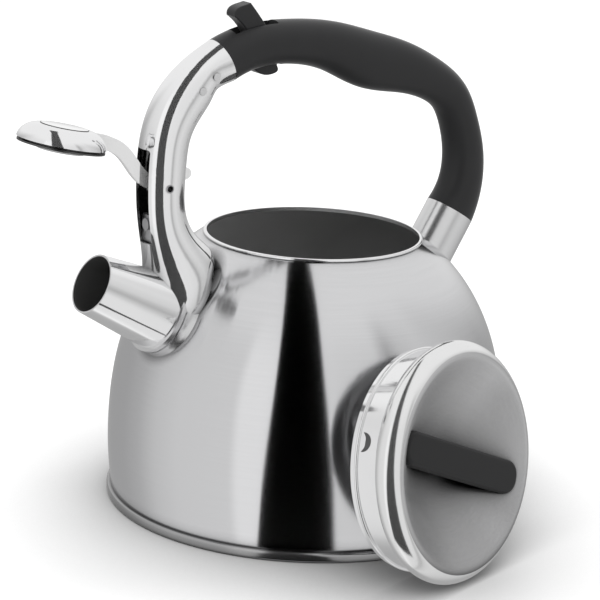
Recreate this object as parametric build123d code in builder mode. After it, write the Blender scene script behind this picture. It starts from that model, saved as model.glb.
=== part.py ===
from build123d import *
import math
import os

# Stovetop whistling kettle, millimetres.
# +Z is up, the origin is on the vessel's axis where the base stands, the spout
# points to -X and the arched handle lies in the XZ plane. The whistle is open
# and the lid stands beside the vessel, leaning on it.

os.makedirs("parts", exist_ok=True)

# ---------------------------------------------------------------- vessel
sheet = 0.8                 # drawn steel sheet
base_radius = 95.0          # outside of the base hem
hem_height = 4.6
hem_width = 6.0
hem_rounding = 1.8
hem_step = 2.0              # how far the hem stands out from the wall
core_gap = 1.0              # between the heat core and the hem
belly_swell = 1.8
belly_height = 42.8
shoulder_inset = 6.6        # from the belly radius
shoulder_drop = 49.2        # below the mouth
breast_inset = 27.4
breast_drop = 14.1
mouth_height = 130.0
neck_depth = 4.0
bead_radius = 1.1

# ---------------------------------------------------------------- spout
spout_reach = 24.8          # mouth centre beyond the belly
spout_drop = 11.7           # mouth centre below the vessel's mouth
spout_tilt = 25.9           # degrees above level
spout_radius = 13.9
spout_flare = 0.108         # growth of the radius per length
spout_length = 66.0         # to well inside the vessel
collar_start = 38.0         # first ring, along the spout
ring_width = 2.2
ring_rise = 1.6
groove_rise = 0.7
groove_width = 0.8
collar_flare = 6.0          # growth from the second ring into the vessel

# ---------------------------------------------------------------- arch
bracket_wall = 1.2
bracket_half_width = 11.0
pivot_inset = 8.3           # whistle pivot inside the belly radius
pivot_rise = 31.0           # above the vessel's mouth
pivot_pin_radius = 1.9
pivot_bore_radius = 1.4
front_slot_width = 11.0
front_slot_top = 48.0       # above the vessel's mouth
front_slot_bottom = 4.5
slot_rounding = 1.6
rear_slot_width = 5.0
rear_slot_top = 51.5
rear_slot_bottom = 25.0
tongue_start = 59.0         # lowest end of the grip's tongue, above the mouth
# cross sections of the bracket, inward from the belly and upward from the mouth,
# first those of the foot, with their directions in degrees
foot_path = [(25.5, -26.0), (19.3, -15.8), (15.8, 2.0)]
foot_half_depths = [21.0, 20.0, 13.7]
foot_half_widths = [19.5, 18.3, 12.6]
foot_ways = [121.4, 121.4, 102.0]
arch_path = [(10.7, 16.5), (9.7, 33.0), (10.6, 48.0), (15.2, 62.5), (24.3, 74.6), (39.6, 85.4)]
arch_half_depths = [11.1, 11.1, 11.3, 11.7, 11.3, 10.7]

# ---------------------------------------------------------------- trigger and linkage
trigger_inset = 58.8        # trigger pivot inside the belly radius
trigger_rise = 86.0         # above the vessel's mouth
trigger_thickness = 8.0
trigger_reach = 15.5        # trigger pivot to link pin
trigger_pin_radius = 1.5
trigger_pin_length = 15.0
crank_reach = 5.0           # whistle pivot to link pin
link_pin_radius = 1.0
link_eye_radius = 2.3
link_height = 3.0
link_thickness = 1.5
link_gap = 0.2              # beside the arm and the trigger
link_bypass = 5.9           # around the whistle's pivot
link_bypass_way = -14.0     # degrees
link_path = [(12.9, 46.0), (18.6, 60.0), (29.0, 75.0)]  # from the belly and the mouth
pin_clearance = 0.05        # radial, in every running hole
lever_thickness = 3.0       # arm plate and trigger tongue
whistle_swing = 75.0        # degrees from open to closed

# ---------------------------------------------------------------- whistle cap
seat_gap = 0.3
flange_radius = 19.6
flange_thickness = 0.8
dome_radius = 20.0
dome_lift = 1.8             # edge of the dome above the seat
dome_height = 9.0
disc_radius = 10.8
disc_thickness = 0.5
spigot_radius = 16.6
plug_radius = 11.2
plug_depth = 1.8
steam_hole_radius = 1.5
seal_width = 3.0
seal_chamfer = 0.6
reed_radius = 7.0
reed_gap = 1.2
reed_sheet = 0.4
disc_recess = 0.15          # disc below the dome's crown
dome_lean = 1.4
dome_wall = 3.4
dome_shoulder = 4.8
dome_crown = 1.0
arm_height = 6.4
arm_root_radius = 11.5      # inner end of the arm inside the dome
arm_crook = 11.0            # from the dome's side to the arm's bend
arm_bend = 16.0             # degrees, away from the cap's plane
arm_sag = 12.0              # degrees about the pivot, below the straight line to the seat
hub_radius = 5.2
heel_reach = 14.0
heel_rise = 4.0
heel_radius = 2.6

link_pin_head_radius = 1.7
link_pin_head = 0.7
bush_radius = 2.9
bush_start = 3.6            # beside the link
tab_width = 10.4            # steel tab inside the bracket's foot
tab_thickness = 2.0
tab_inset = 3.8             # inside the belly radius
tab_top = 17.0              # above the vessel's mouth
tab_screw_rise = 13.0
tab_screw_radius = 1.6
tab_screw_head_radius = 2.75
tab_screw_head = 1.5
tab_screw_length = 6.0

# ---------------------------------------------------------------- grip
# cross sections, inward from the belly's front or rear and upward from the mouth
grip_front_path = [(52.8, 90.5), (74.8, 92.3)]
grip_rear_path = [
    (89.8, 88.6),
    (68.3, 81.2),
    (49.8, 76.8),
    (31.8, 70.2),
    (18.3, 60.5),
    (11.8, 48.3),
    (7.4, 31.5),
    (7.6, 18.5),
    (13.4, 2.9),
]
grip_half_depths = [10.7, 10.4, 10.3, 11.8, 13.6, 12.5, 10.5, 9.65, 9.5, 10.25, 11.15, 13.2]
grip_half_widths = [11.0, 11.0, 10.9, 10.8, 10.6, 10.3, 10.0, 10.0, 10.0, 10.2, 10.4, 10.8]
joint_way = -121.0          # direction of the grip where it meets the ferrule
channel_width = 9.0         # for the link
pocket_half_width = 4.5     # for the trigger
trigger_rounding = 0.8
# the trigger's sides and the pocket in the grip, from the trigger's pivot
trigger_front = [(-4.6, -3.5), (-8.0, 12.5), (-15.0, 19.5)]
trigger_tip = [(-15.0, 19.5), (-14.2, 22.6), (-10.5, 24.4), (-6.5, 25.4)]
trigger_rear = [(-6.5, 25.4), (0.3, 17.2), (5.0, 10.0), (9.0, -4.0)]
trigger_toe = [(9.0, -4.0), (9.5, -6.4), (7.0, -7.7), (-0.5, -7.0), (-4.6, -3.5)]
pocket_corners = [
    (-20.0, -4.0),
    (-5.5, -4.0),
    (-5.5, -26.0),
    (12.0, -26.0),
    (12.0, 12.0),
    (8.5, 12.0),
    (8.5, 39.0),
    (-14.5, 39.0),
    (-14.5, 11.4),
    (-20.0, 10.0),
]
rivet_radius = 1.7
rivet_path = [(23.7, 74.2), (30.8, 80.3)]  # from the belly and the mouth
rivet_depth = 5.0
rivet_rise = 0.3
tenon_length = 9.0

# ---------------------------------------------------------------- rear ferrule
ferrule_half_depth = 13.2
ferrule_half_width = 10.8
ferrule_length = 45.0       # to well inside the vessel
stud_radius = 2.5
stud_depth = 16.0           # inside the grip

# ---------------------------------------------------------------- lid
lid_radius = 54.0
lid_fit = 0.3               # bead of the skirt inside the mouth
rim_lip = 4.6               # rim beyond the skirt
rim_width = 8.8             # rim around the dish
rim_toe = 1.4
rim_swell = 0.2
rim_shoulder = 1.8
rim_crown = 2.4             # highest ring of the rim, from the dish
lid_rest = 0.52             # between the skirt and the vessel
skirt_depth = 14.6
skirt_bead_radius = 0.9
rim_rounding = 4.0          # rim's lower edge below the lid's plane
dish_edge = 7.2
dish_depth = 14.2
bar_half_length = 44.0
bar_half_width = 7.6
bar_corner = 7.0
bar_top = 6.8
bar_thickness = 6.6
bar_turn = -23.5            # degrees about the lid's axis
bar_rounding = 2.2
lid_screw_place = 37.0
lid_screw_radius = 1.75
lid_lean = 9.5              # degrees back from upright
lid_turn = 17.5             # degrees, axis away from -Y towards +X
lid_side = -3.2             # centre of the rim
skirt_bead_height = 3.0     # above the skirt's lower edge
screw_head_radius = 3.2
screw_head_drop = 1.2
screw_engagement = 4.8


def polar(centre, reach, degrees):
    """A point of the XZ plane at a distance and direction from another one."""
    angle = math.radians(degrees)
    return (centre[0] + reach * math.cos(angle), centre[1] + reach * math.sin(angle))


def moved_points(curve, distance, count):
    """Points beside a plane curve, at a distance to its left."""
    points = []
    for index in range(count):
        place = curve @ (index / (count - 1))
        way = curve % (index / (count - 1))
        points.append((place.X - distance * way.Y, place.Y + distance * way.X))
    return points


def strip(points, width):
    """A flat band along a smooth line, with round ends."""
    centre = Spline(*points)
    with BuildSketch() as band:
        with BuildLine():
            left = Spline(*moved_points(centre, width / 2, 9))
            right = Spline(*moved_points(centre, -width / 2, 9))
            Line(left @ 0, right @ 0)
            Line(left @ 1, right @ 1)
        make_face()
        with Locations(centre @ 0, centre @ 1):
            Circle(width / 2)
    return band.sketch


def finish(builder, name):
    """Label a sub-part and write it."""
    builder.part.label = name
    export_step(builder.part, f"parts/{name}.step")


# ---------------------------------------------------------------- vessel shapes
foot_radius = base_radius - hem_step
belly_radius = foot_radius + belly_swell
skirt_radius = lid_radius - rim_lip
mouth_radius = skirt_radius + skirt_bead_radius + lid_fit
neck_radius = mouth_radius + sheet
vessel_curve = Spline(
    (foot_radius, hem_height),
    (belly_radius, belly_height),
    (belly_radius - shoulder_inset, mouth_height - shoulder_drop),
    (belly_radius - breast_inset, mouth_height - breast_drop),
    (neck_radius + bead_radius / 2, mouth_height - 2 * bead_radius),
)


def vessel_form(inset):
    """The vessel's outer shape as a solid, with its wall moved inward."""
    with BuildPart() as form:
        with BuildSketch(Plane.XZ):
            with BuildLine():
                side = Spline(*moved_points(vessel_curve, inset, 9))
                Line(side @ 1, (0, (side @ 1).Y))
                Line((0, (side @ 1).Y), (0, (side @ 0).Y))
                Line((0, (side @ 0).Y), side @ 0)
            make_face()
        revolve(axis=Axis.Z)
    return form.part


outer_vessel = vessel_form(0)

# ---------------------------------------------------------------- spout shapes
spout_mouth = (-belly_radius - spout_reach, mouth_height - spout_drop)
tilt = math.radians(spout_tilt)
spout_plane = Plane(
    origin=(spout_mouth[0], 0, spout_mouth[1]),
    x_dir=(0, 1, 0),
    z_dir=(math.cos(tilt), 0, -math.sin(tilt)),
)


def spout_cone(start, extra, end=spout_length):
    """A cone about the spout's axis, parallel to its wall."""
    with BuildPart() as cone:
        for place in (start, end):
            with BuildSketch(spout_plane.offset(place)):
                Circle(spout_radius + spout_flare * place + extra)
        loft()
    return cone.part


spout_solid = spout_cone(0, 0)
spout_bore = spout_cone(-1, -sheet)

spout_section = Plane(
    origin=spout_plane.origin,
    x_dir=(math.sin(tilt), 0, math.cos(tilt)),
    z_dir=(0, 1, 0),
)
spout_axis = Axis(spout_plane.origin, spout_plane.z_dir)

# ---------------------------------------------------------------- arch shapes
def from_front(places):
    """Points given inward from the belly's front and upward from the mouth."""
    return [(-belly_radius + x, mouth_height + z) for x, z in places]


def from_rear(places):
    """Points given inward from the belly's rear and upward from the mouth."""
    return [(belly_radius - x, mouth_height + z) for x, z in places]


arch_centres = from_front(arch_path)
arch_curve = Spline(*arch_centres)


def cross_plane(place, way):
    """A plane square to the arch, with its y axis away from the hand."""
    return Plane(origin=(place[0], 0, place[1]), x_dir=(0, 1, 0), z_dir=(way[0], 0, way[1]))


def arch_form(inset):
    """The bracket's outer shape as a solid, with its wall moved inward."""
    with BuildPart() as form:
        for index, place in enumerate(from_front(foot_path)):
            way = polar((0, 0), 1, foot_ways[index])
            with BuildSketch(cross_plane(place, way)):
                Ellipse(foot_half_widths[index] - inset, foot_half_depths[index] - inset)
        for index, half_depth in enumerate(arch_half_depths):
            way = arch_curve % (index / (len(arch_half_depths) - 1))
            with BuildSketch(cross_plane(arch_centres[index], (way.X, way.Y))):
                Ellipse(bracket_half_width - inset, half_depth - inset)
        loft()
    return form.part


arch_outer = arch_form(0)
arch_inner = arch_form(bracket_wall)

# ---------------------------------------------------------------- linkage points
whistle_pivot = (-belly_radius + pivot_inset, mouth_height + pivot_rise)
trigger_pivot = (-belly_radius + trigger_inset, mouth_height + trigger_rise)
pivot_span = math.dist(whistle_pivot, trigger_pivot)
link_way = math.degrees(
    math.atan2(trigger_pivot[1] - whistle_pivot[1], trigger_pivot[0] - whistle_pivot[0])
    + math.asin((crank_reach + trigger_reach) / pivot_span)
)
link_travel = 2 * crank_reach * math.sin(math.radians(whistle_swing / 2))
trigger_swing = 2 * math.degrees(math.asin(link_travel / (2 * trigger_reach)))
crank_pin = polar(whistle_pivot, crank_reach, link_way - 90 - whistle_swing / 2)
trigger_link_pin = polar(trigger_pivot, trigger_reach, link_way + 90 + trigger_swing / 2)
# the crank pin also moves sideways in the link's lower eye
eye_travel = crank_reach * (1 - math.cos(math.radians(whistle_swing / 2))) + trigger_reach * (
    1 - math.cos(math.radians(trigger_swing / 2))
)
link_bends = [polar(whistle_pivot, link_bypass, link_bypass_way)] + from_front(link_path)
link_shift = polar((0, 0), link_travel, link_way)


def link_route(share):
    """The link's centre line, at a share of its travel from open to closed."""
    points = [crank_pin] + link_bends + [trigger_link_pin]
    return [(x + share * link_shift[0], z + share * link_shift[1]) for x, z in points]


# ================================================================ base and vessel
with BuildPart() as base_pan:
    with BuildSketch(Plane.XZ) as pan_profile:
        with BuildLine():
            Polyline(
                (0, 0),
                (base_radius, 0),
                (base_radius, hem_height),
                (base_radius - hem_width, hem_height),
                (base_radius - hem_width, sheet),
                (0, sheet),
                close=True,
            )
        make_face()
        fillet(pan_profile.vertices().group_by(Axis.X)[-1], hem_rounding)
    revolve(axis=Axis.Z)
finish(base_pan, "base_pan")

with BuildPart() as heat_core:
    with BuildSketch(Plane.XY.offset(sheet)):
        Circle(base_radius - hem_width - core_gap)
    extrude(amount=hem_height - sheet)
finish(heat_core, "heat_core")

with BuildPart() as vessel_shell:
    with BuildSketch(Plane.XZ):
        with BuildLine():
            outside = Spline(*moved_points(vessel_curve, 0, 9))
            bead = ThreePointArc(
                outside @ 1,
                (neck_radius + bead_radius * 1.5, mouth_height - bead_radius),
                (neck_radius + bead_radius / 2, mouth_height),
            )
            neck = Polyline(
                bead @ 1,
                (mouth_radius, mouth_height),
                (mouth_radius, mouth_height - neck_depth),
            )
            inside = Spline(
                neck @ 1,
                *reversed(moved_points(vessel_curve, sheet, 9)[1:-2]),
                (foot_radius - sheet, hem_height + sheet),
            )
            Polyline(
                inside @ 1,
                (0, hem_height + sheet),
                (0, hem_height),
                outside @ 0,
            )
        make_face()
    revolve(axis=Axis.Z)
    add(spout_bore, mode=Mode.SUBTRACT)
finish(vessel_shell, "vessel_shell")

# ================================================================ spout
with BuildPart() as spout_tube:
    add(spout_solid)
    add(spout_bore, mode=Mode.SUBTRACT)
    add(outer_vessel, mode=Mode.SUBTRACT)
finish(spout_tube, "spout_tube")

with BuildPart() as spout_collar:
    with BuildSketch(spout_section):
        with BuildLine():
            wall_radius = spout_radius + spout_flare * collar_start
            outside = Polyline(
                (0, collar_start),
                (wall_radius + ring_rise, collar_start),
                (wall_radius + ring_rise, collar_start + ring_width),
                (wall_radius + groove_rise, collar_start + ring_width),
                (wall_radius + groove_rise, collar_start + ring_width + groove_width),
                (wall_radius + ring_rise, collar_start + ring_width + groove_width),
                (wall_radius + ring_rise, collar_start + 2 * ring_width + groove_width),
            )
            flare = Line(
                outside @ 1,
                (wall_radius + ring_rise + collar_flare, spout_length),
            )
            Line(flare @ 1, (0, spout_length))
            Line((0, spout_length), (0, collar_start))
        make_face()
    revolve(axis=spout_axis)
collar_solid = spout_collar.part
with BuildPart() as spout_collar:
    add(collar_solid)
    add(spout_solid, mode=Mode.SUBTRACT)
    add(outer_vessel, mode=Mode.SUBTRACT)
finish(spout_collar, "spout_collar")

# ================================================================ whistle arm
closed_way = 180 - spout_tilt
open_way = closed_way - whistle_swing
seat_point = polar(spout_mouth, seat_gap, closed_way)
seat_reach = math.dist(whistle_pivot, seat_point)
seat_way = 360 + math.degrees(
    math.atan2(seat_point[1] - whistle_pivot[1], seat_point[0] - whistle_pivot[0])
)
open_seat = polar(whistle_pivot, seat_reach, seat_way - whistle_swing)
cap_plane = Plane(
    origin=(open_seat[0], 0, open_seat[1]),
    x_dir=(math.sin(math.radians(open_way)), 0, -math.cos(math.radians(open_way))),
    z_dir=(0, -1, 0),
)
cap_axis = Axis(cap_plane.origin, cap_plane.y_dir)
arm_root = polar(open_seat, dome_height / 2, open_way)
arm_side = polar(arm_root, dome_radius, open_way - 90)
heel = (whistle_pivot[0] + heel_reach, whistle_pivot[1] + heel_rise)

arm_blade = strip(
    [
        polar(arm_root, arm_root_radius, open_way - 90),
        arm_side,
        polar(arm_side, arm_crook, open_way - 90 - arm_bend),
        polar(whistle_pivot, arm_crook + hub_radius, seat_way - whistle_swing - arm_sag),
        whistle_pivot,
    ],
    arm_height,
)
arm_tail = strip([whistle_pivot, heel], 2 * heel_radius)

with BuildPart() as whistle_arm:
    with BuildSketch(Plane.XZ):
        add(arm_blade)
        add(arm_tail)
        with Locations(whistle_pivot):
            Circle(hub_radius)
        with Locations(crank_pin):
            Circle(link_eye_radius)
        with Locations(whistle_pivot):
            Circle(pivot_pin_radius + pin_clearance, mode=Mode.SUBTRACT)
        with Locations(crank_pin):
            Circle(link_pin_radius, mode=Mode.SUBTRACT)
    extrude(amount=lever_thickness / 2, both=True)
finish(whistle_arm, "whistle_arm")


# ================================================================ whistle cap
def cap_turned(points):
    """A solid turned about the cap's axis from (radius, height) points."""
    with BuildPart() as turned:
        with BuildSketch(cap_plane):
            with BuildLine():
                Polyline(*points, close=True)
            make_face()
        revolve(axis=cap_axis)
    return turned.part


def dome_form(inset):
    """The dome's outer shape as a solid, with its wall moved inward."""
    side = Spline(
        (dome_radius, dome_lift),
        (dome_radius - dome_lean, dome_lift + dome_wall),
        (dome_radius - dome_shoulder, dome_height - dome_crown),
        (disc_radius, dome_height),
    )
    points = moved_points(side, inset, 5)
    with BuildPart() as form:
        with BuildSketch(cap_plane):
            with BuildLine():
                edge = Spline(*points)
                Polyline(edge @ 1, (0, (edge @ 1).Y), (0, (edge @ 0).Y), edge @ 0)
            make_face()
        revolve(axis=cap_axis)
    return form.part


dome_outer = dome_form(0)
dome_inner = dome_form(sheet)
disc_seat = cap_turned(
    [
        (0, dome_height - disc_thickness),
        (disc_radius, dome_height - disc_thickness),
        (disc_radius, dome_height + disc_thickness),
        (0, dome_height + disc_thickness),
    ]
)
spigot_full = cap_turned(
    [
        (spigot_radius - sheet, 0),
        (spigot_radius, 0),
        (spigot_radius, dome_height),
        (spigot_radius - sheet, dome_height),
    ]
)
spigot_low = cap_turned(
    [
        (spigot_radius - sheet, 0),
        (spigot_radius, 0),
        (spigot_radius, dome_lift),
        (spigot_radius - sheet, dome_lift),
    ]
)

with BuildPart() as cap_dome:
    add(dome_outer)
    add(dome_inner, mode=Mode.SUBTRACT)
    add(disc_seat, mode=Mode.SUBTRACT)
    add(whistle_arm.part, mode=Mode.SUBTRACT)
finish(cap_dome, "cap_dome")

with BuildPart() as cap_disc:
    with BuildSketch(cap_plane):
        with BuildLine():
            Polyline(
                (0, dome_height - disc_thickness),
                (disc_radius, dome_height - disc_thickness),
                (disc_radius, dome_height - disc_recess),
                (0, dome_height - disc_recess),
                close=True,
            )
        make_face()
    revolve(axis=cap_axis)
finish(cap_disc, "cap_disc")

with BuildPart() as cap_flange:
    add(spigot_full)
    add(dome_inner, mode=Mode.INTERSECT)
    add(spigot_low)
    with BuildSketch(cap_plane):
        with BuildLine():
            Polyline(
                (steam_hole_radius, 0),
                (flange_radius, 0),
                (flange_radius, flange_thickness),
                (steam_hole_radius, flange_thickness),
                close=True,
            )
        make_face()
    revolve(axis=cap_axis)
    add(whistle_arm.part, mode=Mode.SUBTRACT)
finish(cap_flange, "cap_flange")

with BuildPart() as whistle_reed:
    with BuildSketch(cap_plane):
        with BuildLine():
            Polyline(
                (steam_hole_radius, reed_gap + flange_thickness),
                (reed_radius, reed_gap + flange_thickness),
                (reed_radius, flange_thickness),
                (reed_radius + reed_sheet, flange_thickness),
                (reed_radius + reed_sheet, reed_gap + reed_sheet + flange_thickness),
                (steam_hole_radius, reed_gap + reed_sheet + flange_thickness),
                close=True,
            )
        make_face()
    revolve(axis=cap_axis)
finish(whistle_reed, "whistle_reed")

with BuildPart() as whistle_seal:
    with BuildSketch(cap_plane) as seal_profile:
        with BuildLine():
            Polyline(
                (plug_radius - seal_width, 0),
                (plug_radius, 0),
                (plug_radius, -plug_depth),
                (plug_radius - seal_width, -plug_depth),
                close=True,
            )
        make_face()
        chamfer(seal_profile.vertices().group_by(Axis.Z)[0], seal_chamfer)
    revolve(axis=cap_axis)
finish(whistle_seal, "whistle_seal")


# ================================================================ linkage
def side_plane(place):
    """The XZ plane moved sideways, facing -Y."""
    return Plane.XZ.offset(-place)


link_outside = lever_thickness / 2 + link_gap + link_thickness
pin_end = link_outside + link_gap + link_pin_head


def link_pin(centre):
    """A headed pin through a lever and the link beside it."""
    with BuildPart() as pin:
        with BuildSketch(side_plane(pin_end)):
            with Locations(centre):
                Circle(link_pin_head_radius)
        extrude(amount=link_pin_head)
        with BuildSketch(side_plane(pin_end)):
            with Locations(centre):
                Circle(link_pin_radius)
        extrude(amount=pin_end + lever_thickness / 2)
    return pin


arm_link_pin = link_pin(crank_pin)
finish(arm_link_pin, "arm_link_pin")
trigger_link_pin_part = link_pin(trigger_link_pin)
finish(trigger_link_pin_part, "trigger_link_pin")

eye_far = polar(crank_pin, eye_travel, link_way - 90)
hook_edge = polar(crank_pin, link_pin_radius, link_way + 90)
hook_corner = polar(crank_pin, 2 * link_eye_radius, link_way + 90)
link_band = strip(link_route(0), link_height)
with BuildPart() as link_rod:
    with BuildSketch(side_plane(link_outside)):
        add(link_band)
        with Locations(crank_pin, eye_far, trigger_link_pin):
            Circle(link_eye_radius)
        with BuildLine():
            Polyline(
                polar(crank_pin, link_eye_radius, link_way),
                polar(eye_far, link_eye_radius, link_way),
                polar(eye_far, link_eye_radius, link_way + 180),
                polar(crank_pin, link_eye_radius, link_way + 180),
                close=True,
            )
        make_face()
        with Locations(trigger_link_pin):
            Circle(link_pin_radius + pin_clearance, mode=Mode.SUBTRACT)
        with Locations(crank_pin, eye_far):
            Circle(link_pin_radius + link_gap, mode=Mode.SUBTRACT)
        with BuildLine():
            Polyline(
                polar(crank_pin, link_pin_radius + link_gap, link_way),
                polar(eye_far, link_pin_radius + link_gap, link_way),
                polar(eye_far, link_pin_radius + link_gap, link_way + 180),
                polar(crank_pin, link_pin_radius + link_gap, link_way + 180),
                close=True,
            )
        make_face(mode=Mode.SUBTRACT)
        # the lower eye is open towards the whistle's pivot
        with BuildLine():
            Polyline(
                polar(hook_edge, 2 * link_eye_radius, link_way),
                polar(hook_edge, 2 * link_eye_radius, link_way + 180),
                polar(hook_corner, 2 * link_eye_radius, link_way + 180),
                polar(hook_corner, 2 * link_eye_radius, link_way),
                close=True,
            )
        make_face(mode=Mode.SUBTRACT)
    extrude(amount=link_thickness)
finish(link_rod, "link_rod")

with BuildPart() as pivot_pin:
    with BuildSketch(Plane.XZ):
        with Locations(whistle_pivot):
            Circle(pivot_pin_radius)
            Circle(pivot_bore_radius, mode=Mode.SUBTRACT)
    extrude(amount=bracket_half_width, both=True)
finish(pivot_pin, "pivot_pin")

with BuildPart() as pivot_bushes:
    with BuildSketch(side_plane(-lever_thickness / 2 - link_gap)):
        with Locations(whistle_pivot):
            Circle(bush_radius)
    extrude(amount=bracket_half_width)
    with BuildSketch(side_plane(bush_start)):
        with Locations(whistle_pivot):
            Circle(bush_radius)
    extrude(amount=-bracket_half_width)
    add(arch_inner, mode=Mode.INTERSECT)
    with BuildSketch(Plane.XZ):
        with Locations(whistle_pivot):
            Circle(pivot_pin_radius)
    extrude(amount=2 * bracket_half_width, both=True, mode=Mode.SUBTRACT)
finish(pivot_bushes, "pivot_bushes")

# ================================================================ bracket foot
tab_front = belly_radius - tab_inset
tab_screw_place = (0, mouth_height + tab_screw_rise)
with BuildPart() as foot_screw:
    with BuildSketch(Plane.YZ.offset(-tab_front - tab_screw_head)):
        with Locations(tab_screw_place):
            Circle(tab_screw_head_radius)
    extrude(amount=tab_screw_head)
    with BuildSketch(Plane.YZ.offset(-tab_front)):
        with Locations(tab_screw_place):
            Circle(tab_screw_radius)
    extrude(amount=tab_screw_length)
finish(foot_screw, "foot_screw")

with BuildPart() as foot_plate:
    with BuildSketch(Plane.YZ.offset(-tab_front)):
        with Locations((0, mouth_height)):
            Rectangle(tab_width, 2 * tab_top)
    extrude(amount=tab_thickness)
    add(arch_inner, mode=Mode.INTERSECT)
    add(spout_solid, mode=Mode.SUBTRACT)
    add(outer_vessel, mode=Mode.SUBTRACT)
    add(foot_screw.part, mode=Mode.SUBTRACT)
finish(foot_plate, "foot_plate")

# ================================================================ trigger
def at_trigger(points):
    """Points given from the trigger's pivot."""
    return [(trigger_pivot[0] + x, trigger_pivot[1] + z) for x, z in points]


tongue_band = strip([trigger_pivot, trigger_link_pin], 2 * link_eye_radius)
with BuildPart() as trigger:
    with BuildSketch(side_plane(trigger_thickness / 2)):
        with BuildLine():
            Spline(*at_trigger(trigger_front))
            Spline(*at_trigger(trigger_tip))
            Spline(*at_trigger(trigger_rear))
            Spline(*at_trigger(trigger_toe))
        make_face()
    extrude(amount=trigger_thickness)
    trigger_sides = trigger.faces().filter_by(Axis.Y)
    fillet(trigger_sides.edges(), trigger_rounding)
    with BuildSketch(side_plane(lever_thickness / 2)):
        add(tongue_band)
        with Locations(trigger_link_pin):
            Circle(link_pin_radius, mode=Mode.SUBTRACT)
    extrude(amount=lever_thickness)
    with BuildSketch(side_plane(trigger_thickness)):
        with Locations(trigger_pivot):
            Circle(trigger_pin_radius + pin_clearance)
    extrude(amount=2 * trigger_thickness, mode=Mode.SUBTRACT)
finish(trigger, "trigger")

with BuildPart() as trigger_pin:
    with BuildSketch(Plane.XZ):
        with Locations(trigger_pivot):
            Circle(trigger_pin_radius)
    extrude(amount=trigger_pin_length / 2, both=True)
finish(trigger_pin, "trigger_pin")

# ================================================================ grip
# centre line from the bracket to the ferrule
grip_centres = [arch_centres[-1]] + from_front(grip_front_path) + from_rear(grip_rear_path)
joint_direction = polar((0, 0), 1, joint_way)
joint_start = arch_curve % 1
grip_curve = Spline(*grip_centres)
grip_steps = [math.dist(a, b) for a, b in zip(grip_centres, grip_centres[1:])]
grip_shares = [sum(grip_steps[:index]) / sum(grip_steps) for index in range(len(grip_centres))]

grip_tangents = [grip_curve % share for share in grip_shares]
grip_ways = [(joint_start.X, joint_start.Y)]
grip_ways += [(way.X, way.Y) for way in grip_tangents[1:-1]]
grip_ways += [joint_direction]

with BuildPart() as grip_form:
    for index, way in enumerate(grip_ways):
        with BuildSketch(cross_plane(grip_centres[index], way)):
            Ellipse(grip_half_widths[index], grip_half_depths[index])
    loft()

with BuildPart() as tongue_form:
    add(arch_inner)
    with BuildSketch(Plane.XY.offset(mouth_height + tongue_start)):
        Rectangle(4 * belly_radius, 4 * bracket_half_width)
    extrude(amount=-belly_radius * 2, mode=Mode.SUBTRACT)

ferrule_plane = cross_plane(grip_centres[-1], joint_direction)
with BuildPart() as rear_stud:
    with BuildSketch(ferrule_plane.offset(-stud_depth)):
        Circle(stud_radius)
    extrude(amount=stud_depth + ferrule_length)
    add(outer_vessel, mode=Mode.SUBTRACT)
finish(rear_stud, "rear_stud")

with BuildPart() as rear_ferrule:
    with BuildSketch(ferrule_plane):
        Ellipse(ferrule_half_width, ferrule_half_depth)
        Ellipse(
            ferrule_half_width - bracket_wall,
            ferrule_half_depth - bracket_wall,
            mode=Mode.SUBTRACT,
        )
    extrude(amount=ferrule_length)
    add(outer_vessel, mode=Mode.SUBTRACT)
finish(rear_ferrule, "rear_ferrule")

with BuildPart() as grip_rivets:
    with BuildSketch(Plane.XZ):
        with Locations(from_front(rivet_path)):
            Circle(rivet_radius)
    extrude(amount=bracket_half_width + rivet_rise, both=True)
    with BuildSketch(Plane.XZ):
        Rectangle(4 * belly_radius, 4 * mouth_height)
    extrude(amount=bracket_half_width - rivet_depth, both=True, mode=Mode.SUBTRACT)
finish(grip_rivets, "grip_rivets")

channel_band = strip(link_route(0.5), channel_width)
with BuildPart() as handle_grip:
    add(grip_form.part)
    add(tongue_form.part)
    with BuildSketch(ferrule_plane.offset(-tenon_length)):
        Ellipse(ferrule_half_width - bracket_wall, ferrule_half_depth - bracket_wall)
    extrude(amount=2 * tenon_length)
    add(outer_vessel, mode=Mode.SUBTRACT)
    with BuildSketch(side_plane(pocket_half_width)):
        add(channel_band)
        with BuildLine():
            Polyline(*at_trigger(pocket_corners), close=True)
        make_face()
    extrude(amount=2 * pocket_half_width, mode=Mode.SUBTRACT)
    add(trigger_pin.part, mode=Mode.SUBTRACT)
    add(rear_stud.part, mode=Mode.SUBTRACT)
    add(grip_rivets.part, mode=Mode.SUBTRACT)
finish(handle_grip, "handle_grip")

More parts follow.
